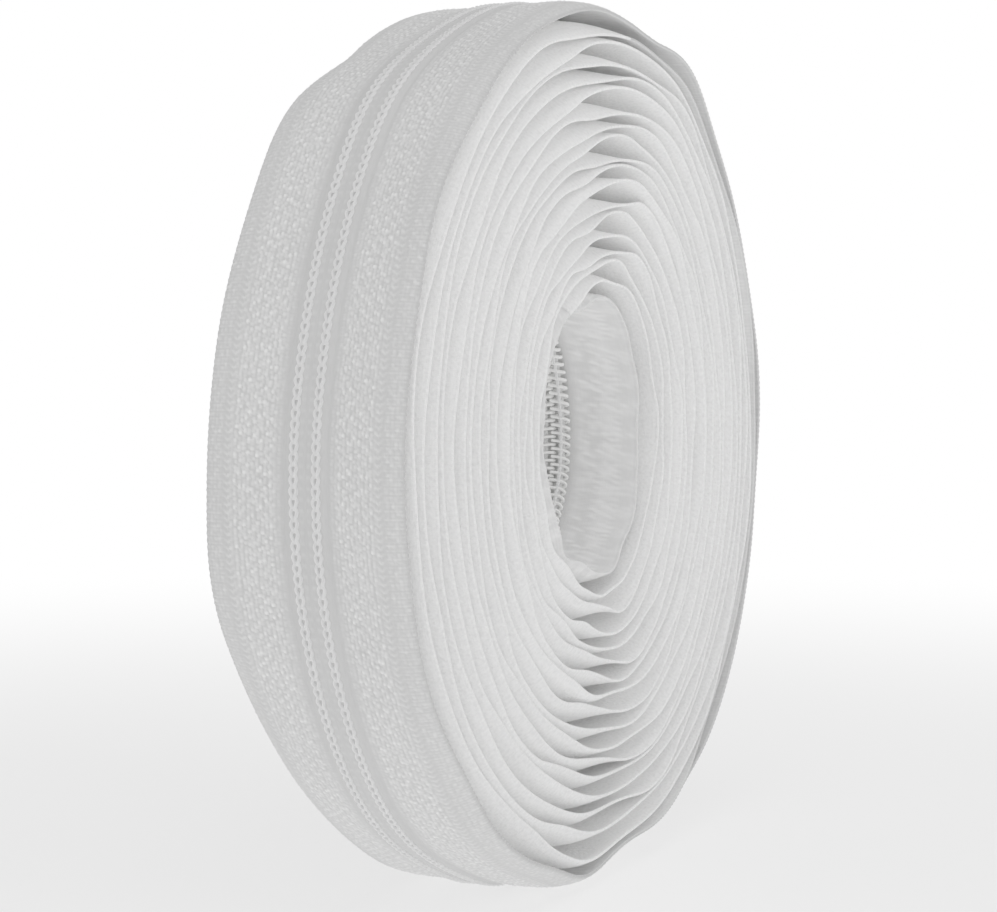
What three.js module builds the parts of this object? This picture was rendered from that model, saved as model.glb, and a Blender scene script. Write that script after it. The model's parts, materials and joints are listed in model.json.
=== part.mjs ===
// A wound roll of continuous nylon-coil zipper chain, in millimetres, +Z up.
// The roll stands on its rim. Its axis is the Y axis and passes through the origin.
// Left is the +Y side and right is the -Y side, as seen by a viewer at -X who looks along +X.
// The flat face of the tapes faces outwards and the coils face the middle of the roll.
import * as THREE from "three";

// Driving dimensions of the chain and the roll.
const CHAIN_WIDTH = 30; // both tapes together
const ROLL_RADIUS = 66; // flat face of the tape at the free end
const HOLE_RADIUS = 19.5; // free space in the middle of the roll
const FULL_TURNS = 18;
const TAPE_THICKNESS = 0.5;
const COIL_WIDTH = 2.85; // one side's coil, across the chain
const COIL_THICKNESS = 1.3;
const STITCH_ROW_Y = 1.7; // from the middle of the chain to each row of stitches
const STITCH_GROOVE_WIDTH = 1.1; // the stitches lie sunk in the flat face, so the roll stands flat
const STITCH_GROOVE_DEPTH = 0.3;
const MIDDLE_GAP = 0.2; // between the two tapes
const SOFT_GAP = 0.04; // between a tape and the coil that is sewn to it
const THREAD_GAP = 0.1; // between the stitches and each edge of their groove

// Angles around the roll axis in degrees: 0 is +X, 90 is up. The chain runs outwards clockwise,
// from INNER_END over the top of the roll and down its +X side to the free end.
const FINE_STEP = 15;
const COARSE_STEP = 30;
const COARSE_TURNS = 15; // the inner turns, which the outer turns cover
const INNER_END = 157.5;
const TAIL_TOP = 67.5;
const TAIL_SEGMENTS = 4;
const TAIL_SEGMENT_ANGLE = 30;
const END_ANGLE = 15; // the last piece of the chain, where the two sides can part
const JOINT_GAP = 0.06; // between two segments, along the chain
const SPREAD_ANGLE = 12; // how far each side of the free end can swing away from the middle

const tailBottom = TAIL_TOP - TAIL_SEGMENTS * TAIL_SEGMENT_ANGLE;
const freeEnd = tailBottom - END_ANGLE;
const totalTravel = FULL_TURNS * 360 + INNER_END - freeEnd;
const firstRadius = HOLE_RADIUS + TAPE_THICKNESS + SOFT_GAP + COIL_THICKNESS;
const pitch = ((ROLL_RADIUS - firstRadius) / totalTravel) * 360;

// Travel is the angle in degrees that the chain has turned since its inner end.
const travelTo = (angle) => totalTravel - (angle - freeEnd);
const radiusAt = (travel) => firstRadius + (pitch * travel) / 360;
const coarseTravel = COARSE_TURNS * 360;

// The stretch of the spiral between two travels. Every turn has its corners at the same angles
// around the axis, so that the flat-sided turns nest without touching.
class SpiralPath extends THREE.Curve {
  constructor(from, to) {
    super();
    this.travels = [from];
    for (let t = 0; t < to; t += t < coarseTravel ? COARSE_STEP : FINE_STEP)
      if (t > from + 1) this.travels.push(t);
    if (to - this.travels.at(-1) < 1) this.travels.pop();
    this.travels.push(to);
  }

  get steps() {
    return this.travels.length - 1;
  }

  angle(travel) {
    return THREE.MathUtils.degToRad(INNER_END - travel);
  }

  getSpacedPoints() {
    return this.travels.map((travel) => {
      const a = this.angle(travel);
      return new THREE.Vector3(Math.cos(a), 0, Math.sin(a)).multiplyScalar(radiusAt(travel));
    });
  }

  // A section's x runs along the roll axis and its y runs outwards from the axis.
  computeFrenetFrames() {
    const angles = this.travels.map((travel) => this.angle(travel));
    return {
      tangents: angles.map((a) => new THREE.Vector3(Math.sin(a), 0, -Math.cos(a))),
      normals: angles.map(() => new THREE.Vector3(0, 1, 0)),
      binormals: angles.map((a) => new THREE.Vector3(Math.cos(a), 0, Math.sin(a))),
    };
  }
}

// Cross-sections of the left side, as [across the chain, out from the tape's flat face].
const coilTop = -TAPE_THICKNESS - SOFT_GAP;
const coilBottom = coilTop - COIL_THICKNESS;
const coilInner = MIDDLE_GAP;
const coilOuter = coilInner + COIL_WIDTH;
const grooveDepth = 0.65 * COIL_THICKNESS;
const cordHalfWidth = 0.75;
const cordTop = coilTop - 0.08;
const cordBottom = cordTop - 0.55;
const grooveHalf = STITCH_GROOVE_WIDTH / 2;
const threadHalf = grooveHalf - THREAD_GAP;
const threadDepth = (STITCH_GROOVE_DEPTH * threadHalf) / grooveHalf;
const sections = {
  tape: [
    [MIDDLE_GAP / 2, -TAPE_THICKNESS],
    [CHAIN_WIDTH / 2, -TAPE_THICKNESS],
    [CHAIN_WIDTH / 2, 0],
    [STITCH_ROW_Y + grooveHalf, 0],
    [STITCH_ROW_Y, -STITCH_GROOVE_DEPTH],
    [STITCH_ROW_Y - grooveHalf, 0],
    [MIDDLE_GAP / 2, 0],
  ],
  // The envelope of the coil's turns, hollowed along its length for the cord.
  coil: [
    [coilInner, coilBottom],
    [coilOuter, coilBottom],
    [coilOuter, coilTop],
    [STITCH_ROW_Y, coilTop - grooveDepth],
    [coilInner, coilTop],
  ],
  cord: [
    [STITCH_ROW_Y - cordHalfWidth, cordTop],
    [STITCH_ROW_Y, cordBottom],
    [STITCH_ROW_Y + cordHalfWidth, cordTop],
  ],
  stitching: [
    [STITCH_ROW_Y - threadHalf, 0],
    [STITCH_ROW_Y, -threadDepth],
    [STITCH_ROW_Y + threadHalf, 0],
  ],
};

const looks = {
  tape: { color: 0xdedede, roughness: 0.95 },
  coil: { color: 0xe6e6e6, roughness: 0.45 },
  cord: { color: 0xd8d8d8, roughness: 0.9 },
  stitching: { color: 0xe2e2e2, roughness: 0.8 },
};

function sectionShape(kind, side) {
  const points = sections[kind].map(([x, y]) => new THREE.Vector2(side * x, y));
  return new THREE.Shape(points);
}

// One tape, coil, cord or row of stitching between two travels. side is 1 for left, -1 for right.
function strip(name, kind, side, from, to) {
  const path = new SpiralPath(from, to);
  const geometry = new THREE.ExtrudeGeometry(sectionShape(kind, side), {
    steps: path.steps,
    extrudePath: path,
  });
  const material = new THREE.MeshStandardMaterial({ ...looks[kind], metalness: 0 });
  const mesh = new THREE.Mesh(geometry, material);
  mesh.name = name;
  return mesh;
}

const sides = { left: 1, right: -1 };

function addChain(group, prefix, from, to, wanted = Object.keys(sides)) {
  for (const sideName of wanted)
    for (const kind of Object.keys(sections))
      group.add(strip(`${prefix}${sideName}_${kind}`, kind, sides[sideName], from, to));
}

// Half of the gap at a joint, as travel in degrees.
const gapTravel = THREE.MathUtils.radToDeg(JOINT_GAP / 2 / ROLL_RADIUS);

// The free end's near face slopes back from the stitch row to the selvage, so that the side can
// swing out by SPREAD_ANGLE about its coil without reaching the segment behind it.
function slopeStart(mesh, side, path) {
  const slope = Math.tan(THREE.MathUtils.degToRad(SPREAD_ANGLE));
  const [start, next] = path.getSpacedPoints();
  const across = path.computeFrenetFrames().tangents[0];
  const along = next.clone().sub(start).normalize();
  const position = mesh.geometry.getAttribute("position");
  const point = new THREE.Vector3();
  for (let i = 0; i < position.count; i += 1) {
    point.fromBufferAttribute(position, i);
    const beyondPivot = side * point.y - STITCH_ROW_Y;
    const onStart = Math.abs(point.dot(across)) < JOINT_GAP;
    if (onStart && beyondPivot > 0) {
      point.addScaledVector(along, beyondPivot * slope);
      position.setXYZ(i, point.x, point.y, point.z);
    }
  }
}

const root = new THREE.Group();

addChain(root, "", 0, travelTo(TAIL_TOP) - gapTravel);

for (let i = 0; i < TAIL_SEGMENTS; i += 1) {
  const from = travelTo(TAIL_TOP - i * TAIL_SEGMENT_ANGLE);
  const to = from + TAIL_SEGMENT_ANGLE;
  addChain(root, `tail_${i + 1}_`, from + gapTravel, to - gapTravel);
}

const endFrom = travelTo(tailBottom) + gapTravel;
const endPath = new SpiralPath(endFrom, totalTravel);
const end = new THREE.Group();
addChain(end, "end_", endFrom, totalTravel);
for (const mesh of end.children) {
  const side = mesh.name.includes("left") ? sides.left : sides.right;
  slopeStart(mesh, side, endPath);
}
root.add(end);

export default root;
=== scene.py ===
"""A coreless roll of white nylon-coil zipper chain, standing on its rim.

Every piece is first laid out on a straight chain, in millimetres, as (along, across, out): along the
chain from its inner end, across it from the middle to the left, and out from the tapes' flat face.
wind() then winds those points onto the roll.
"""

import json
import math

import bpy
import numpy as np
from mathutils import Matrix, Vector


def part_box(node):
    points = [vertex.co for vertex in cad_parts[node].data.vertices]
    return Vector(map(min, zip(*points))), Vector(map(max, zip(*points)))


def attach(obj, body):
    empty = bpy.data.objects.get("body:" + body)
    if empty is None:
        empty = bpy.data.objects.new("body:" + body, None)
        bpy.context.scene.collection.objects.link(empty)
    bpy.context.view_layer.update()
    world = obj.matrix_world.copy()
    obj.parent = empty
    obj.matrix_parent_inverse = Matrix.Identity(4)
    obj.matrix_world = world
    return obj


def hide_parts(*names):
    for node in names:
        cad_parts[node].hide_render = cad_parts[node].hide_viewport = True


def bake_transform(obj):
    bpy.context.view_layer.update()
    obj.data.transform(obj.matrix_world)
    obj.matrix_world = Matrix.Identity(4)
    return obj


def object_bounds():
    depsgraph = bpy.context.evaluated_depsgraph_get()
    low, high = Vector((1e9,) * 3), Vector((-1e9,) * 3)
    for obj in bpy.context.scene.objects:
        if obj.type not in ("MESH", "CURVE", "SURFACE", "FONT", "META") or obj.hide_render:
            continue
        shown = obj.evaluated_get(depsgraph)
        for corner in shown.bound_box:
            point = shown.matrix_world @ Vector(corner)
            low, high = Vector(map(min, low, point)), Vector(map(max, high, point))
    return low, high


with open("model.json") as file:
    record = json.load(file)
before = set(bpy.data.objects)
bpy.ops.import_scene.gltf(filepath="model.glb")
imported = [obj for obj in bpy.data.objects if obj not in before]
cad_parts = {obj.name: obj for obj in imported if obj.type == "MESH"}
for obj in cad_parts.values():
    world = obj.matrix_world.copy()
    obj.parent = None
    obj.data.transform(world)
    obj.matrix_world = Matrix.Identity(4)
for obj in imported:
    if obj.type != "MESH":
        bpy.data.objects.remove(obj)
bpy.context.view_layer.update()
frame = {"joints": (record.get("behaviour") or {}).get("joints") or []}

MM = 0.001
SIDES = {"left": 1, "right": -1}

# ---------------------------------------------------------------- the roll, from the frame


def pivot(name):
    """Radius in millimetres and angle in degrees of a joint around the roll's axis."""
    found = next(j for j in frame["joints"] if j["name"] == name)
    x, _, z = found["pos_m"]
    return math.hypot(x, z) / MM, math.degrees(math.atan2(z, x))


HALF_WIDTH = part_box("left_tape")[1][1] / MM
FULL_TURNS = 18
INNER_END = 157.5  # angle of the chain's inner end around the axis
END_ANGLE = 15.0  # the stretch of chain beyond the last hinge
BENDS = 4
top_radius, TAIL_TOP = pivot("peel_1")
low_radius, low_angle = pivot(f"peel_{BENDS}")
SEGMENT = (TAIL_TOP - low_angle) / (BENDS - 1)
PITCH = (low_radius - top_radius) / (TAIL_TOP - low_angle) * 360
TOP_TRAVEL = FULL_TURNS * 360 + INNER_END - TAIL_TOP
FIRST_RADIUS = top_radius - PITCH * TOP_TRAVEL / 360
FREE_END = TOP_TRAVEL + BENDS * SEGMENT + END_ANGLE


def radius_at(travel):
    return FIRST_RADIUS + PITCH * travel / 360


def along_at(travel):
    """Length of chain in millimetres wound in the first travel degrees."""
    return np.radians(travel) * (FIRST_RADIUS + PITCH * travel / 720)


def travel_at(along):
    growth = PITCH / 720
    return (np.sqrt(FIRST_RADIUS**2 + 4 * growth * np.degrees(along)) - FIRST_RADIUS) / (2 * growth)


# ---------------------------------------------------------------- sizes of the chain, in millimetres

TOOTH_PITCH = 1.45  # and that of the chain stitches
TAPE_THICKNESS = 0.5
MIDDLE_GAP = 0.004  # between the two tapes
STITCH_ROW = 1.7  # from the middle of the chain, as for all the rows and columns here
RIDGE_HALF = 3.2  # half the width of the raised band that the coil holds up
RIDGE_HEIGHT = 0.28
RIM_ROUND = 0.25  # rounding of the selvage
KNOT_COLUMN = 11.4  # a column of small knots beside the selvage
KNOT_PITCH = 0.95
FLOAT_HEIGHT = 0.24  # of the weave's floats
FLOAT_RADIUS = 0.3
FLOAT_ROW, FLOAT_STEP = 0.62, 0.58  # between rows of floats, and between floats in a row
WEFT_PITCH = 0.56  # of the fine ribs across the tape
WEFT_YARN, WARP_YARN = 0.28, 0.30  # width of one yarn, in the bump
WIRE_RADIUS = 0.28
COIL_TOP = RIDGE_HEIGHT - TAPE_THICKNESS - 0.04  # just clear of the tapes' backs
COIL_HEIGHT = 1.5
HEAD_REACH = 0.42  # how far a head passes the middle of the chain
COIL_BACK = 3.05  # from the middle of the chain to the far side of a coil
THREAD_RADIUS = 0.25
CORD_ROW, CORD_HALF_WIDTH, CORD_HALF_HEIGHT = 1.5, 0.62, 0.2
CORD_LAY = 2.6  # length in which the cord's strands go once round

# ---------------------------------------------------------------- how the roll is wound

# Bumps and flats of the outline on each rim, as (angle, height, half width in degrees).
NEAR_RIM = [(60, 1.8, 6), (75, -0.5, 6), (180, 2.7, 35), (-82, -1.4, 8), (-97, 2.4, 6), (-90, 0.8, 30)]
FAR_RIM = [(112, -1.9, 9), (133, 1.7, 7), (197, 1.7, 18), (180, 1.0, 40), (231, -1.0, 12), (258, 2.6, 8)]
MIDDLE = [(175, -3.4, 30), (229, 2.2, 15)]  # the same for the middle of every turn
DENT_DEPTH = 9.0  # how fast the dents fade towards the middle of the roll
RISE = 0.8  # the middle stands out a little, because the coil holds it up
DROOP = 1.5  # and the selvages hang in, on the inner turns by INNER_DROOP more
INNER_DROOP = 1.6
DROOP_DEPTH = 6.0  # how deep in the roll that is reached
FLARE = 2.8  # at the roll's +X side the inner turns' selvages lean out instead
CURL = 6.0  # how close to the selvage the tapes curl
EDGE_WAVE = 0.95  # the selvages wave in and out by this much
WAVE_CURL = 2.5  # how close to the selvage they wave
DRIFT = 0.22  # the chain wanders sideways by this much
RECESS = 2.0  # the inner turns sink in on the near side
TILT = 0.4  # and sink in more at the roll's +X side
SUNK_START = 2.0  # and the first turn more than the others
OVAL = 0.035  # the inner turns are higher by this part of their radius, and narrower by the same
SAG = 2.4  # the inner turns are loose and lie closer to the middle at the bottom
PROUD_TURN, PROUD = 7.3, 0.75  # the turn that stands out of the side face, and by how much


def bump(x, centre, half):
    """A smooth hump, 1 high at the centre."""
    return np.exp(-0.5 * ((x - centre) / half) ** 2)


def smooth(x, low, high):
    """Goes smoothly from 0 at low to 1 at high."""
    t = np.clip((x - low) / (high - low), 0, 1)
    return t * t * (3 - 2 * t)


def outline(angle, rim):
    """Height of a list of bumps at each angle."""
    total = np.zeros_like(angle)
    for centre, height, half in rim:
        apart = (angle - centre + 180) % 360 - 180
        total += height * bump(apart, 0, half)
    return total


def ripple(travel, seed):
    """A smooth wandering value between about -1 and 1."""
    waves = ((137.0, 0.3), (83.0, 0.3), (47.0, 0.34), (29.0, 0.18), (311.0, 0.3))
    total = sum(
        size * np.sin(2 * np.pi * travel / length + seed * (i + 1.7) * 2.1)
        for i, (length, size) in enumerate(waves)
    )
    return np.tanh(1.7 * total)


def hang_at(turn, inward, depth):
    """How far the selvages hang in: less at the roll's +X side, where the inner turns lean out."""
    side = smooth(np.cos(turn), -0.25, 0.45) * (1 - 0.5 * inward**6)
    hang = DROOP * (1 - 0.3 * side)
    hang += (INNER_DROOP - (INNER_DROOP + FLARE) * side) * (1 - np.exp(-depth / DROOP_DEPTH))
    return hang


def shift_at(turn, inward, travel):
    """How far the chain lies towards the far side."""
    shift = DRIFT * ripple(travel * 0.7, 4.2) + RECESS * inward**1.5 + TILT * inward * np.cos(turn)
    shift += SUNK_START * bump(travel / 360, 0, 0.5) - PROUD * bump(travel / 360, PROUD_TURN, 0.45)
    return shift


def wind(flat):
    """Winds points of the straight chain, as (..., 3) in millimetres, onto the roll, in metres."""
    along, across, out = flat[..., 0], flat[..., 1], flat[..., 2]
    travel = travel_at(along)
    angle = INNER_END - travel
    turn = np.radians(angle)
    edge = np.abs(across) / HALF_WIDTH
    near = np.clip(0.5 - 0.5 * across / HALF_WIDTH, 0, 1)
    base = radius_at(travel)
    inward = np.clip((radius_at(FREE_END) - base) / (radius_at(FREE_END) - FIRST_RADIUS), 0, 1)
    depth = (FREE_END - travel) / 360 * PITCH
    middle = outline(angle, MIDDLE)
    dents = near * outline(angle, NEAR_RIM) + (1 - near) * outline(angle, FAR_RIM)
    lift = EDGE_WAVE * (near * ripple(travel, 1.0) + (1 - near) * ripple(travel, 2.6))
    hang = hang_at(turn, inward, depth)
    # The tapes' thickness turns with the slope of the three curves across them.
    slope = (WAVE_CURL * lift * edge ** (WAVE_CURL - 1) - CURL * hang * edge ** (CURL - 1)) / HALF_WIDTH
    slope -= 2 * middle * edge / HALF_WIDTH
    tilt = np.arctan(slope)
    radius = base * (1 - OVAL * inward**2 * np.cos(2 * turn)) + RISE + out * np.cos(tilt)
    radius += dents * np.exp(-depth / DENT_DEPTH) + lift * edge**WAVE_CURL - hang * edge**CURL
    radius += middle * (1 - edge**2)
    radius -= SAG * inward**2 * (0.5 - 0.5 * np.sin(turn))
    shift = shift_at(turn, inward, travel)
    shift -= np.sign(across) * out * np.sin(tilt)
    return np.stack([radius * np.cos(turn), across + shift, radius * np.sin(turn)], -1) * MM


def place(travel):
    """A point of the middle of the flat face, in metres."""
    return wind(np.array([along_at(travel), 0.0, 0.0]))


# ---------------------------------------------------------------- mesh building
# A body is (flat points, list of face arrays). Rings run clockwise seen against the chain's run.


def tube(rings):
    """One closed body from rings of flat points, as (rings, around, 3)."""
    return many_tubes(rings[None])


def wall_faces(count, around):
    i, j = np.meshgrid(np.arange(count - 1), np.arange(around), indexing="ij")
    k = (j + 1) % around
    quads = [i * around + j, (i + 1) * around + j, (i + 1) * around + k, i * around + k]
    return np.stack(quads, -1).reshape(-1, 4)


def many_tubes(tubes):
    """Many short closed tubes of flat points, as (tubes, rings, around, 3)."""
    many, count, around = tubes.shape[:3]
    size = count * around
    j = np.arange(around)
    shift = (np.arange(many) * size)[:, None, None]
    shapes = [wall_faces(count, around), j[None], (j[::-1] + size - around)[None]]
    faces = [(shape[None] + shift).reshape(-1, shape.shape[1]) for shape in shapes]
    return tubes.reshape(-1, 3), faces


def join(bodies):
    flats, faces, first = [], [], 0
    for flat, own in bodies:
        flats.append(flat)
        faces += [f + first for f in own]
        first += len(flat)
    return np.concatenate(flats), faces


def make_object(name, body, sharp=50):
    """An object wound onto the roll. Its points keep their straight-chain places as "strip"."""
    flat, faces = body
    mesh = bpy.data.meshes.new(name)
    mesh.vertices.add(len(flat))
    mesh.vertices.foreach_set("co", wind(flat).astype(np.float32).ravel())
    sizes = np.concatenate([np.full(len(f), f.shape[1]) for f in faces])
    corners = np.concatenate([f.ravel() for f in faces]).astype(np.int32)
    starts = np.concatenate([[0], np.cumsum(sizes)[:-1]]).astype(np.int32)
    mesh.loops.add(len(corners))
    mesh.loops.foreach_set("vertex_index", corners)
    mesh.polygons.add(len(sizes))
    mesh.polygons.foreach_set("loop_start", starts)
    mesh.update(calc_edges=True)
    mesh.polygons.foreach_set("use_smooth", np.ones(len(sizes), bool))
    mesh.set_sharp_from_angle(angle=math.radians(sharp))
    strip = mesh.attributes.new("strip", "FLOAT_VECTOR", "POINT")
    strip.data.foreach_set("vector", flat.astype(np.float32).ravel())
    obj = bpy.data.objects.new(name, mesh)
    bpy.context.scene.collection.objects.link(obj)
    return obj


def round_rings(centres, radii, around):
    """Round rings along paths of points, as (..., points, 3). No path may run along the chain only."""
    forward = np.gradient(centres, axis=-2)
    forward /= np.linalg.norm(forward, axis=-1, keepdims=True)
    first = np.cross(forward, np.array([0.0, 0.6, 0.8]))
    first /= np.linalg.norm(first, axis=-1, keepdims=True)
    second = np.cross(first, forward)
    turn = np.linspace(0, 2 * np.pi, around, endpoint=False)
    rim = first[..., None, :] * np.cos(turn)[:, None] + second[..., None, :] * np.sin(turn)[:, None]
    return centres[..., None, :] + rim * np.asarray(radii)[..., None, None]


# ---------------------------------------------------------------- tape


def hashed(a, b, seed):
    """A repeatable value between 0 and 1 for each pair of whole numbers."""
    value = np.sin(a * 127.1 + b * 311.7 + seed * 74.7) * 43758.5453
    return value - np.floor(value)


def grain(along, across):
    """Rounded floats of the weave in staggered, uneven rows: 0 between them, about 1 on top."""
    row = np.floor(across / FLOAT_ROW)
    best = np.zeros_like(along)
    for r in (row - 1, row, row + 1):
        stagger = 0.5 * (r % 2)
        cell = np.floor(along / FLOAT_STEP - stagger)
        for c in (cell - 1, cell, cell + 1):
            x = (c + 0.5 + stagger + 0.5 * (hashed(c, r, 1) - 0.5)) * FLOAT_STEP
            y = (r + 0.5 + 0.5 * (hashed(c, r, 2) - 0.5)) * FLOAT_ROW
            far = ((along - x) / (FLOAT_RADIUS * 1.1)) ** 2 + ((across - y) / FLOAT_RADIUS) ** 2
            on_diagonal = (c + r) % 3 == 0
            lift = np.where(on_diagonal, 1.0, 0.55) * (0.5 + 0.5 * hashed(c, r, 3))
            best = np.maximum(best, lift * np.sqrt(np.clip(1 - far, 0, 1)))
    return best


def ridge(a):
    """The band that the coil holds up, with a valley where the two tapes meet."""
    top = RIDGE_HEIGHT * (1 - smooth(a, RIDGE_HALF - 0.75, RIDGE_HALF + 0.1))
    return top - 0.10 * bump(a, RIDGE_HALF + 0.15, 0.2) - 0.02 * bump(a, 0, 0.12)


def weave(along, a):
    """Fine relief of the flat face: ribs over the teeth, floats, knots and the selvage's ribs."""
    ribs = 0.035 * np.cos(2 * np.pi * along / TOOTH_PITCH) * (smooth(a, 0.2, 0.4) - smooth(a, 0.9, 1.2))
    trough = -0.02 * bump(a, STITCH_ROW, 0.5)
    body = smooth(a, RIDGE_HALF + 1.0, RIDGE_HALF + 2.0)
    body -= smooth(a, KNOT_COLUMN - 1.1, KNOT_COLUMN - 0.8)
    border = smooth(a, KNOT_COLUMN + 0.7, KNOT_COLUMN + 1.0) - smooth(a, HALF_WIDTH - 0.4, HALF_WIDTH)
    beside = smooth(a, RIDGE_HALF + 0.3, RIDGE_HALF + 0.8) * (a < KNOT_COLUMN) * (1 - body)
    floats = FLOAT_HEIGHT * (body + 0.5 * border + 0.4 * beside) * grain(along, a)
    knots = np.cos(2 * np.pi * (along / KNOT_PITCH - np.abs(a - KNOT_COLUMN) * 0.7))
    knots = (0.02 + 0.08 * np.clip(knots, -0.3, 1)) * bump(a, KNOT_COLUMN, 0.42)
    weft = np.cos(2 * np.pi * along / WEFT_PITCH)
    fine = 0.012 * (1 - body) * smooth(a, RIDGE_HALF, RIDGE_HALF + 0.4) + 0.02 * border
    return ribs + trough + floats + knots + fine * weft


def mark_floats(obj, flat):
    """Keeps the height of the fine relief as "floats", 0 in the hollows and 1 on top; the tape's colour
    uses it for painted shade, darker in the hollows and lighter on top.
    """
    height = weave(flat[:, 0], np.abs(flat[:, 1])) / FLOAT_HEIGHT
    floats = obj.data.attributes.new("floats", "FLOAT", "POINT")
    floats.data.foreach_set("value", np.clip(height, 0, 1).astype(np.float32))


def tape_section(face_points, edge_points, even):
    """The ring around a tape: distances across, and 1 on the flat face down to 0 on the back."""
    inner, start = MIDDLE_GAP / 2, HALF_WIDTH - RIM_ROUND
    spread = np.linspace(0, 1, face_points)
    if not even:
        spread = 1 - (1 - spread) ** 1.8  # closer together where the selvage curls
    face = inner + (start - inner) * spread
    turn = np.linspace(0, np.pi, edge_points + 2)[1:-1]
    back = face[:: -max(1, face_points // 12)]
    a = np.concatenate([face, start + RIM_ROUND * np.sin(turn), back])
    layer = np.concatenate([np.ones(len(face)), 0.5 + 0.5 * np.cos(turn), np.zeros(len(back))])
    return a, layer


def tape(side, start, end, step, face_points, edge_points, fine):
    """One tape between two travels, with rings every step millimetres, and its weave if fine."""
    s0, s1 = along_at(start), along_at(end)
    along = np.linspace(s0, s1, int(round((s1 - s0) / step)) + 1)
    a, layer = tape_section(face_points, edge_points, fine)
    grid_along, grid_a = np.meshgrid(along, a, indexing="ij")
    lift = ridge(grid_a)
    face_lift = lift + weave(grid_along, grid_a) if fine else lift
    out = layer * face_lift + (1 - layer) * (np.maximum(lift, 0) - TAPE_THICKNESS)
    rope = 0.06 * np.cos(2 * np.pi * grid_along / KNOT_PITCH) * ((layer > 0) & (layer < 1))
    rings = np.stack([grid_along, side * (grid_a + (rope if fine else 0)), out], -1)
    return tube(rings if side > 0 else rings[:, ::-1])


# ---------------------------------------------------------------- coil, cord and stitching


def teeth_between(start, end):
    """Numbers of the first tooth and of the tooth after the last one between two travels."""
    return math.ceil(along_at(start) / TOOTH_PITCH), math.ceil(along_at(end) / TOOTH_PITCH)


def coil(side, start, end, points, around):
    """The monofilament: one flattened loop for each tooth, the two sides half a tooth apart."""
    first, last = teeth_between(start, end)
    turn = np.arange((last - first) * points + 1) / points
    wave = np.sin(2 * np.pi * turn)
    swing = 0.5 - 0.5 * np.cos(2 * np.pi * turn)
    back, head = COIL_BACK - WIRE_RADIUS, WIRE_RADIUS - HEAD_REACH
    half_height = COIL_HEIGHT / 2 - WIRE_RADIUS
    stagger = 0.25 * side
    along = (first + stagger + turn + wave / (2 * np.pi)) * TOOTH_PITCH
    across = side * (back + (head - back) * swing)
    out = COIL_TOP - COIL_HEIGHT / 2 + half_height * np.sign(wave) * np.sqrt(np.abs(wave))
    head_swelling = 0.16 * bump(turn % 1, 0.5, 0.08)
    radii = WIRE_RADIUS * (1 + head_swelling)
    centres = np.stack([along, across, out], -1)
    return tube(round_rings(centres, radii, around))


def cord(side, start, end, step, around):
    """The filler cord inside the coil: three strands twisted and pressed flat by the coil's turns."""
    s0, s1 = along_at(start), along_at(end)
    along = np.linspace(s0, s1, int(round((s1 - s0) / step)) + 1)[:, None]
    turn = np.linspace(0, 2 * np.pi, around, endpoint=False)[None]
    strands = 0.82 + 0.18 * np.abs(np.sin(1.5 * (turn + 2 * np.pi * along / CORD_LAY)))
    across = side * CORD_ROW + CORD_HALF_WIDTH * strands * np.cos(turn)
    out = COIL_TOP - COIL_HEIGHT / 2 - CORD_HALF_HEIGHT * strands * np.sin(turn)
    return tube(np.stack([np.broadcast_to(along, across.shape), across, out], -1))


def loops(side, start, end, rings, around):
    """Chain stitches on the flat face: each link is two legs that open like a V."""
    first, last = teeth_between(start, end)
    link = np.arange(first, last)[:, None, None] * TOOTH_PITCH
    leg = np.array([-1.0, 1.0])[None, :, None]
    t = np.linspace(0, 1, rings)[None, None]
    length = 1.2 * TOOTH_PITCH  # each link ends under the next one
    along = link + length * t + 0 * leg
    spread = 0.10 + 0.38 * smooth(t, 0, 0.7) - 0.2 * smooth(t, 0.75, 1)
    across = side * STITCH_ROW + leg * spread + 0 * link
    out = RIDGE_HEIGHT - 0.12 + 0.2 * np.sin(np.pi * t) + 0 * link + 0 * leg
    centres = np.stack([along, across, out], -1).reshape(-1, rings, 3)
    radii = np.full(centres.shape[:-1], THREAD_RADIUS)
    return many_tubes(round_rings(centres, radii, around))


def needle_thread(side, start, end, points, around):
    """The thread that ties down the coil: over each turn and down between the turns."""
    first, last = teeth_between(start, end)
    turn = np.arange((last - first) * points + 1) / points
    along = (first + turn) * TOOTH_PITCH
    phase = 2 * np.pi * (turn - 0.25 - 0.25 * side)
    out = COIL_TOP - COIL_HEIGHT + 0.1 - 0.17 * np.cos(phase)
    across = np.full_like(along, side * STITCH_ROW) + 0.05 * np.sin(phase)
    centres = np.stack([along, across, out], -1)
    return tube(round_rings(centres, np.full(len(along), THREAD_RADIUS * 0.9), around))


def stitching(side, start, end, rings, points, around):
    return join([
        loops(side, start, end, rings, around),
        needle_thread(side, start, end, points, around),
    ])


# ---------------------------------------------------------------- materials


WHITEST = 0.97  # the brightest that white cloth can be


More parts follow.
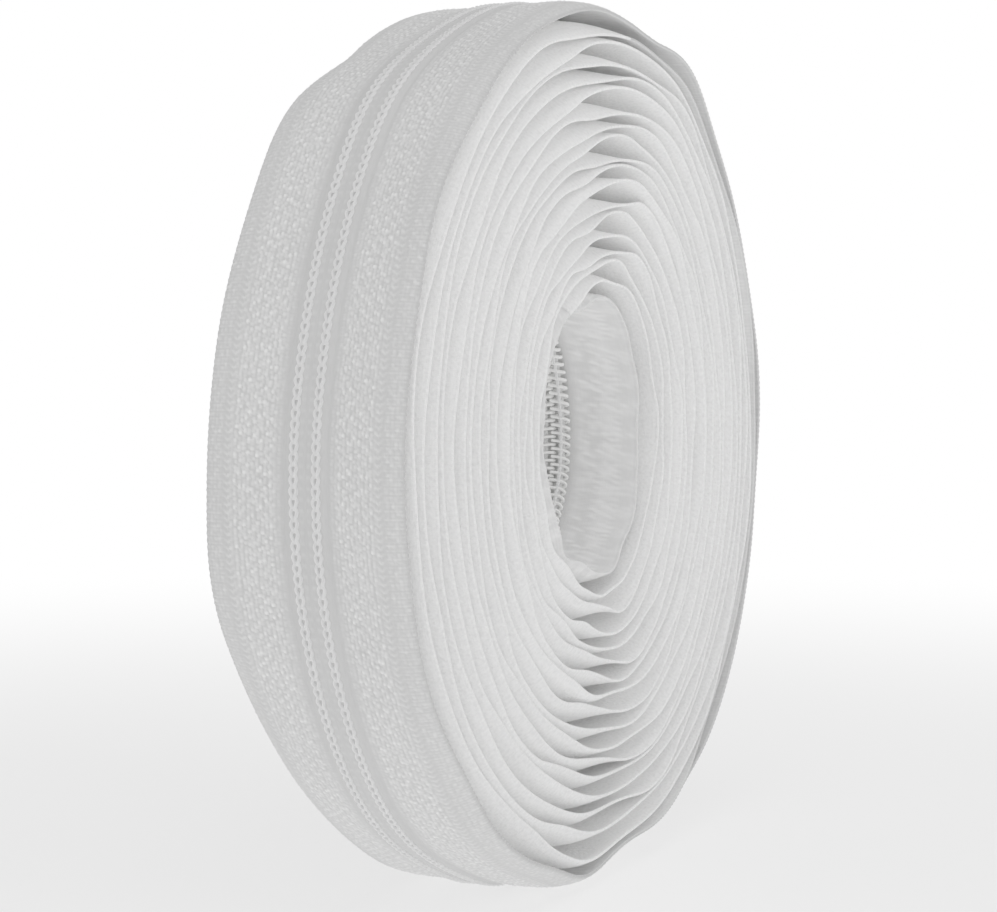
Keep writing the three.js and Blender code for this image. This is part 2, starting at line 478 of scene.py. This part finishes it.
class Nodes:
    """Short names for the nodes that every material here is made of."""

    def __init__(self, name):
        self.material = bpy.data.materials.new(name)
        self.material.use_nodes = True
        self.tree = self.material.node_tree
        self.surface = self.tree.nodes["Principled BSDF"]
        strip = self.tree.nodes.new("ShaderNodeAttribute")
        strip.attribute_name = "strip"
        self.strip = strip.outputs["Vector"]
        split = self.tree.nodes.new("ShaderNodeSeparateXYZ")
        self.link(self.strip, split.inputs[0])
        self.along, self.across, self.out = split.outputs
        floats = self.tree.nodes.new("ShaderNodeAttribute")
        floats.attribute_name = "floats"
        self.floats = floats.outputs["Fac"]

    def link(self, value, socket):
        if isinstance(value, bpy.types.NodeSocket):
            self.tree.links.new(value, socket)
        else:
            socket.default_value = value

    def math(self, operation, *values):
        """A math node's result for the values."""
        node = self.tree.nodes.new("ShaderNodeMath")
        node.operation = operation
        for value, socket in zip(values, node.inputs):
            self.link(value, socket)
        return node.outputs[0]

    def wave(self, value, period):
        """A cosine of the value, between 0 and 1."""
        cosine = self.math("COSINE", self.math("MULTIPLY", value, 2 * math.pi / period))
        return self.math("MULTIPLY_ADD", cosine, 0.5, 0.5)

    def noise(self, size, detail=2.0, stretch=(1, 1, 1)):
        """Noise with features of about size millimetres on the straight chain."""
        scaled = self.tree.nodes.new("ShaderNodeVectorMath")
        scaled.operation = "MULTIPLY"
        self.link(self.strip, scaled.inputs[0])
        scaled.inputs[1].default_value = [s / size for s in stretch]
        node = self.tree.nodes.new("ShaderNodeTexNoise")
        node.inputs["Scale"].default_value = 1.0
        node.inputs["Detail"].default_value = detail
        self.link(scaled.outputs[0], node.inputs["Vector"])
        return node.outputs[0]

    def between(self, factor, low, high):
        """Maps a factor from 0..1 to low..high."""
        return self.math("MULTIPLY_ADD", factor, high - low, low)

    def ramp(self, value, start, end, low, high):
        """Goes from low to high while the value goes from start to end."""
        node = self.tree.nodes.new("ShaderNodeMapRange")
        for given, socket in zip((value, start, end, low, high), node.inputs):
            self.link(given, socket)
        return node.outputs[0]

    def shade(self, value, tint=(1.0, 1.0, 1.0)):
        """A near-neutral colour of the given brightness, held to what white cloth can reach."""
        value = self.math("MINIMUM", value, WHITEST)
        node = self.tree.nodes.new("ShaderNodeCombineXYZ")
        for part, socket in zip(tint, node.inputs):
            self.link(self.math("MULTIPLY", value, part), socket)
        self.link(node.outputs[0], self.surface.inputs["Base Color"])

    def bumps(self, *layers):
        """Bump layers as (height, depth in millimetres), one on top of the other."""
        normal = None
        for height, depth in layers:
            node = self.tree.nodes.new("ShaderNodeBump")
            node.inputs["Distance"].default_value = depth * MM
            self.link(height, node.inputs["Height"])
            if normal is not None:
                self.link(normal, node.inputs["Normal"])
            normal = node.outputs[0]
        self.link(normal, self.surface.inputs["Normal"])


def set_cloth(surface, glow):
    """Dull and a little fuzzy, with some light going through it (glow)."""
    surface["Subsurface Weight"].default_value = glow
    surface["Subsurface Radius"].default_value = (1, 1, 1)
    surface["Subsurface Scale"].default_value = 1.2 * MM
    surface["Sheen Weight"].default_value = 0.15
    surface["Sheen Roughness"].default_value = 0.5
    surface["Specular IOR Level"].default_value = 0.25


def tape_material(name, brightness, back_brightness, grain_depth, glow):
    """White polyester tape, with the tones of its face and of its back; a back lighter than the face is
    painted light, lifting the shade where the back shows between the turns.

    Where the mesh is too coarse for the weave, grain_depth adds it as bump, in millimetres. The colour is
    painted darker in the weave's hollows and lighter on its tops, as painted shade and light.
    """
    nodes = Nodes(name)
    blotch = nodes.noise(9.0, 3.0, (0.35, 1, 1))
    thread = nodes.noise(0.35, 2.0, (0.25, 1, 1))
    soft = nodes.between(blotch, -0.03, 0.03)
    fibre = nodes.between(thread, -0.05, 0.05)
    hollow = nodes.noise(0.55, 1.0)
    # Painted shade and light: darker in the weave's hollows and lighter on its tops, following the
    # relief's height or the bump's noise.
    if grain_depth:
        weave_painted_shade = nodes.between(hollow, -0.16, 0.12)
    else:
        weave_painted_shade = nodes.between(nodes.floats, -0.22, 0.14)
    tone = nodes.math("ADD", nodes.math("ADD", soft, fibre), weave_painted_shade)
    off_middle = nodes.math("ABSOLUTE", nodes.across)
    # Painted shade: darker towards the selvage, to tone down its edge where the light catches it.
    selvage = nodes.ramp(off_middle, HALF_WIDTH - 0.7, HALF_WIDTH - 0.1, 0.0, -0.12)
    # Painted light: a back brighter than the face lifts the shade where the outer turn's back shows
    # between the turns.
    face_or_back = nodes.ramp(nodes.out, -0.45, -0.2, back_brightness, brightness)
    nodes.shade(nodes.math("ADD", nodes.math("ADD", tone, selvage), face_or_back), (1.0, 1.0, 0.998))
    set_cloth(nodes.surface.inputs, glow)
    nodes.link(nodes.between(thread, 0.84, 0.98), nodes.surface.inputs["Roughness"])
    yarns = nodes.math("MULTIPLY", nodes.wave(nodes.along, WEFT_YARN), nodes.wave(nodes.across, WARP_YARN))
    nodes.bumps((hollow, grain_depth), (yarns, 0.015), (thread, 0.02))
    return nodes.material


def coil_material(name, brightness):
    """Drawn nylon monofilament, smooth and a little cloudy."""
    nodes = Nodes(name)
    cloud = nodes.noise(2.5, 2.0)
    drawn = nodes.noise(0.12, 2.0, (1, 0.1, 1))
    nodes.shade(nodes.math("ADD", nodes.between(cloud, -0.03, 0.03), brightness), (1.0, 1.0, 0.99))
    nodes.link(nodes.between(drawn, 0.30, 0.46), nodes.surface.inputs["Roughness"])
    nodes.surface.inputs["Coat Weight"].default_value = 0.1
    nodes.bumps((drawn, 0.006))
    return nodes.material


def thread_material(name, brightness, twist):
    """Twisted polyester yarn: fine slanting filaments. twist is their spacing in millimetres."""
    nodes = Nodes(name)
    slant = nodes.math("ADD", nodes.along, nodes.math("MULTIPLY", nodes.across, 1.6))
    filaments = nodes.wave(nodes.math("ADD", slant, nodes.out), twist)
    fuzz = nodes.noise(0.12, 2.0)
    # Painted shade: the colour follows the filaments' bump, darker in the grooves between them.
    nodes.shade(nodes.math("ADD", nodes.between(filaments, -0.04, 0.02), brightness))
    nodes.link(nodes.between(fuzz, 0.62, 0.82), nodes.surface.inputs["Roughness"])
    nodes.surface.inputs["Sheen Weight"].default_value = 0.1
    nodes.bumps((filaments, 0.03), (fuzz, 0.015))
    return nodes.material


# ---------------------------------------------------------------- the chain's stretches


ROLL_END = TOP_TRAVEL - SEGMENT / 2  # where the tail's first bend starts
LAST_TURN = ROLL_END - 360
FRONT_START = ROLL_END - 187.5  # from the roll's lowest point on, the last turn faces the camera
CORE_END = 400.0
MIDDLE_START = 3490.0  # below the hole, where the step in the mesh is hidden between turns


def keep(obj, material, node):
    """Gives the piece its material and finish, and hides the CAD node it stands for."""
    obj.data.materials.append(material)
    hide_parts(node)


def add_roll_tape(side_name, looks):
    """A tape's wound turns, finer where they show.

    The numbers are a stretch's start and end, its mesh's step and points, and whether it is fine.
    """
    stretches = {
        "core_turn": (0, CORE_END, 0.5, 40, 7, True, "core_tape_painted_lighter"),
        "inner_turns": (CORE_END, MIDDLE_START, 0.8, 14, 5, False, "coarse_tape_painted_lighter"),
        "middle_turns": (MIDDLE_START, LAST_TURN, 0.75, 14, 5, False, "coarse_tape_painted_lighter"),
        "outer_turn_back": (LAST_TURN, FRONT_START, 0.3, 60, 7, True, "tape"),
        "outer_turn_front": (FRONT_START, ROLL_END, 0.22, 76, 7, True, "tape"),
    }
    for stretch, (start, end, step, face, edge, fine, look) in stretches.items():
        body = tape(SIDES[side_name], start, end, step, face, edge, fine)
        obj = make_object(f"{side_name}_tape_{stretch}", body)
        if fine:
            mark_floats(obj, body[0])
        keep(obj, looks[look], f"{side_name}_tape")
        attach(obj, "roll")


def add_roll_threads(side_name, looks):
    """The wound turns of the coil, cord and stitching on one tape, finer where they show."""
    side = SIDES[side_name]
    stretches = {
        "coil_core_turn": ("coil", "core_coil_painted_lighter", coil(side, 0, CORE_END, 14, 7)),
        "coil_turns": ("coil", "coil", coil(side, CORE_END, ROLL_END, 7, 4)),
        "cord_turns": ("cord", "cord", cord(side, 0, ROLL_END, 0.7, 8)),
        "stitching_turns": ("stitching", "stitching", stitching(side, 0, FRONT_START, 4, 4, 4)),
        "stitching_front": ("stitching", "stitching", stitching(side, FRONT_START, ROLL_END, 8, 8, 7)),
    }
    for stretch, (kind, look, body) in stretches.items():
        obj = make_object(f"{side_name}_{stretch}", body)
        keep(obj, looks[look], f"{side_name}_{kind}")
        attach(obj, "roll")


def tail_bodies(side, start, end):
    """The four real pieces of one side of the chain between two travels."""
    return {
        "tape": tape(side, start, end, 0.22, 76, 7, True),
        "coil": coil(side, start, end, 14, 7),
        "cord": cord(side, start, end, 0.3, 15),
        "stitching": stitching(side, start, end, 8, 8, 7),
    }


def add_tail(side_name, looks):
    """The free end: for each hinge, one piece of each kind around it, and the last running on to the
    chain's end.
    """
    for i in range(BENDS + 1):
        hinge = TOP_TRAVEL + i * SEGMENT
        last = i == BENDS
        reach = (0.35 if last else 0.5) * SEGMENT  # shorter for the last piece
        start, end = hinge - SEGMENT / 2, FREE_END if last else hinge + SEGMENT / 2
        label = "free_end" if last else f"bend_{i + 1}"
        node_stem = f"end_{side_name}" if last else f"tail_{i + 1}_{side_name}"
        for kind, body in tail_bodies(SIDES[side_name], start, end).items():
            obj = make_object(f"{side_name}_{kind}_{label}", body)
            if kind == "tape":
                mark_floats(obj, body[0])
            keep(obj, looks[kind], f"{node_stem}_{kind}")
            place(hinge - reach)
            place(hinge + reach)
            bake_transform(obj)


# ---------------------------------------------------------------- floor, light and camera


def floor_material():
    """Pale floor that turns into the white of the studio a little way from the roll."""
    material = bpy.data.materials.new("pale floor")
    material.use_nodes = True
    tree = material.node_tree
    surface = tree.nodes["Principled BSDF"]
    surface.inputs["Base Color"].default_value = (0.93, 0.93, 0.93, 1)
    surface.inputs["Roughness"].default_value = 0.9
    surface.inputs["Specular IOR Level"].default_value = 0.1
    studio = tree.nodes.new("ShaderNodeEmission")
    where = tree.nodes.new("ShaderNodeNewGeometry")
    away = tree.nodes.new("ShaderNodeVectorMath")
    away.operation = "LENGTH"
    fade = tree.nodes.new("ShaderNodeMapRange")
    fade.interpolation_type = "SMOOTHSTEP"
    fade.inputs["From Min"].default_value = 0.10
    fade.inputs["From Max"].default_value = 0.45
    fade.inputs["To Min"].default_value = 0.5
    mix = tree.nodes.new("ShaderNodeMixShader")
    tree.links.new(where.outputs["Position"], away.inputs[0])
    tree.links.new(away.outputs["Value"], fade.inputs["Value"])
    tree.links.new(fade.outputs["Result"], mix.inputs[0])
    tree.links.new(surface.outputs[0], mix.inputs[1])
    tree.links.new(studio.outputs[0], mix.inputs[2])
    tree.links.new(mix.outputs[0], tree.nodes["Material Output"].inputs["Surface"])
    return material


def add_floor(height):
    mesh = bpy.data.meshes.new("studio_floor")
    half = 40.0
    corners = [(-half, -half, height), (half, -half, height), (half, half, height), (-half, half, height)]
    mesh.from_pydata(corners, [], [(0, 1, 2, 3)])
    mesh.materials.append(floor_material())
    floor = bpy.data.objects.new("studio_floor", mesh)
    bpy.context.scene.collection.objects.link(floor)


def add_world(seen, light):
    """A white studio: the camera sees one strength and the objects are lit by another."""
    world = bpy.data.worlds.new("studio")
    bpy.context.scene.world = world
    world.use_nodes = True
    tree = world.node_tree
    background = tree.nodes["Background"]
    background.inputs["Color"].default_value = (1, 1, 1, 1)
    ray = tree.nodes.new("ShaderNodeLightPath")
    mix = tree.nodes.new("ShaderNodeMath")
    mix.operation = "MULTIPLY_ADD"
    mix.inputs[1].default_value = seen - light
    mix.inputs[2].default_value = light
    tree.links.new(ray.outputs["Is Camera Ray"], mix.inputs[0])
    tree.links.new(mix.outputs[0], background.inputs["Strength"])


def add_softbox(name, place_from, size, power):
    light = bpy.data.lights.new(name, "AREA")
    light.shape = "DISK"
    light.size = size
    light.energy = power
    obj = bpy.data.objects.new(name, light)
    obj.location = place_from
    obj.rotation_euler = (-Vector(place_from)).to_track_quat("-Z", "Y").to_euler()
    bpy.context.scene.collection.objects.link(obj)


def add_camera(azimuth, look_down, distance, left, above, lens):
    """Stands back from the roll's middle, a little to its left and above it."""
    az, down = math.radians(azimuth), math.radians(look_down)
    ahead = Vector((-math.sin(az), math.cos(az), 0))
    right = Vector((math.cos(az), math.sin(az), 0))
    up = Vector((0, 0, 1))
    look = ahead * math.cos(down) - up * math.sin(down)
    camera = bpy.data.cameras.new("camera")
    camera.lens = lens
    camera.sensor_width = 36.0
    camera.clip_start = 0.01
    obj = bpy.data.objects.new("camera", camera)
    turn = Matrix((right, right.cross(look), -look)).transposed()
    obj.matrix_world = Matrix.Translation(-left * right + above * up - distance * ahead) @ turn.to_4x4()
    bpy.context.scene.collection.objects.link(obj)
    bpy.context.scene.camera = obj


# Painted light: the inner turns, the core and the core's coil are lighter copies of the outer tape and
# coil, to lift the shade between the turns and in the hole; the outer tape's back (1.05) is painted
# lighter than its face.
looks = {
    "tape": tape_material("woven tape", 0.85, 1.05, 0.0, 0.0),
    "coarse_tape_painted_lighter": tape_material("woven tape, turns", 0.95, 0.95, 0.12, 0.6),
    "core_tape_painted_lighter": tape_material("woven tape, core", 0.98, 0.98, 0.0, 0.6),
    "coil": coil_material("nylon coil", 0.89),
    "core_coil_painted_lighter": coil_material("nylon coil, core", 0.96),
    "cord": thread_material("filler cord", 0.86, 0.22),
    "stitching": thread_material("sewing thread", 0.99, 0.16),
}
for side_name in SIDES:
    add_roll_tape(side_name, looks)
    add_roll_threads(side_name, looks)
    add_tail(side_name, looks)

visual_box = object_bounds()
add_floor(visual_box[0][2])
# The light between the white turns takes many bounces.
bpy.context.scene.cycles.diffuse_bounces = 16
bpy.context.scene.cycles.max_bounces = 24
add_world(seen=1.0, light=0.435)
add_softbox("key", (-0.1, -1.3, 0.45), 0.9, 2.3)
add_softbox("top", (-0.35, -0.25, 1.2), 0.9, 2.2)
add_camera(azimuth=-63.8, look_down=3.37, distance=0.360, left=0.00342, above=0.0188, lens=84.7)
bpy.context.scene.view_settings.view_transform = "Standard"
bpy.context.scene.view_settings.gamma = 1.4
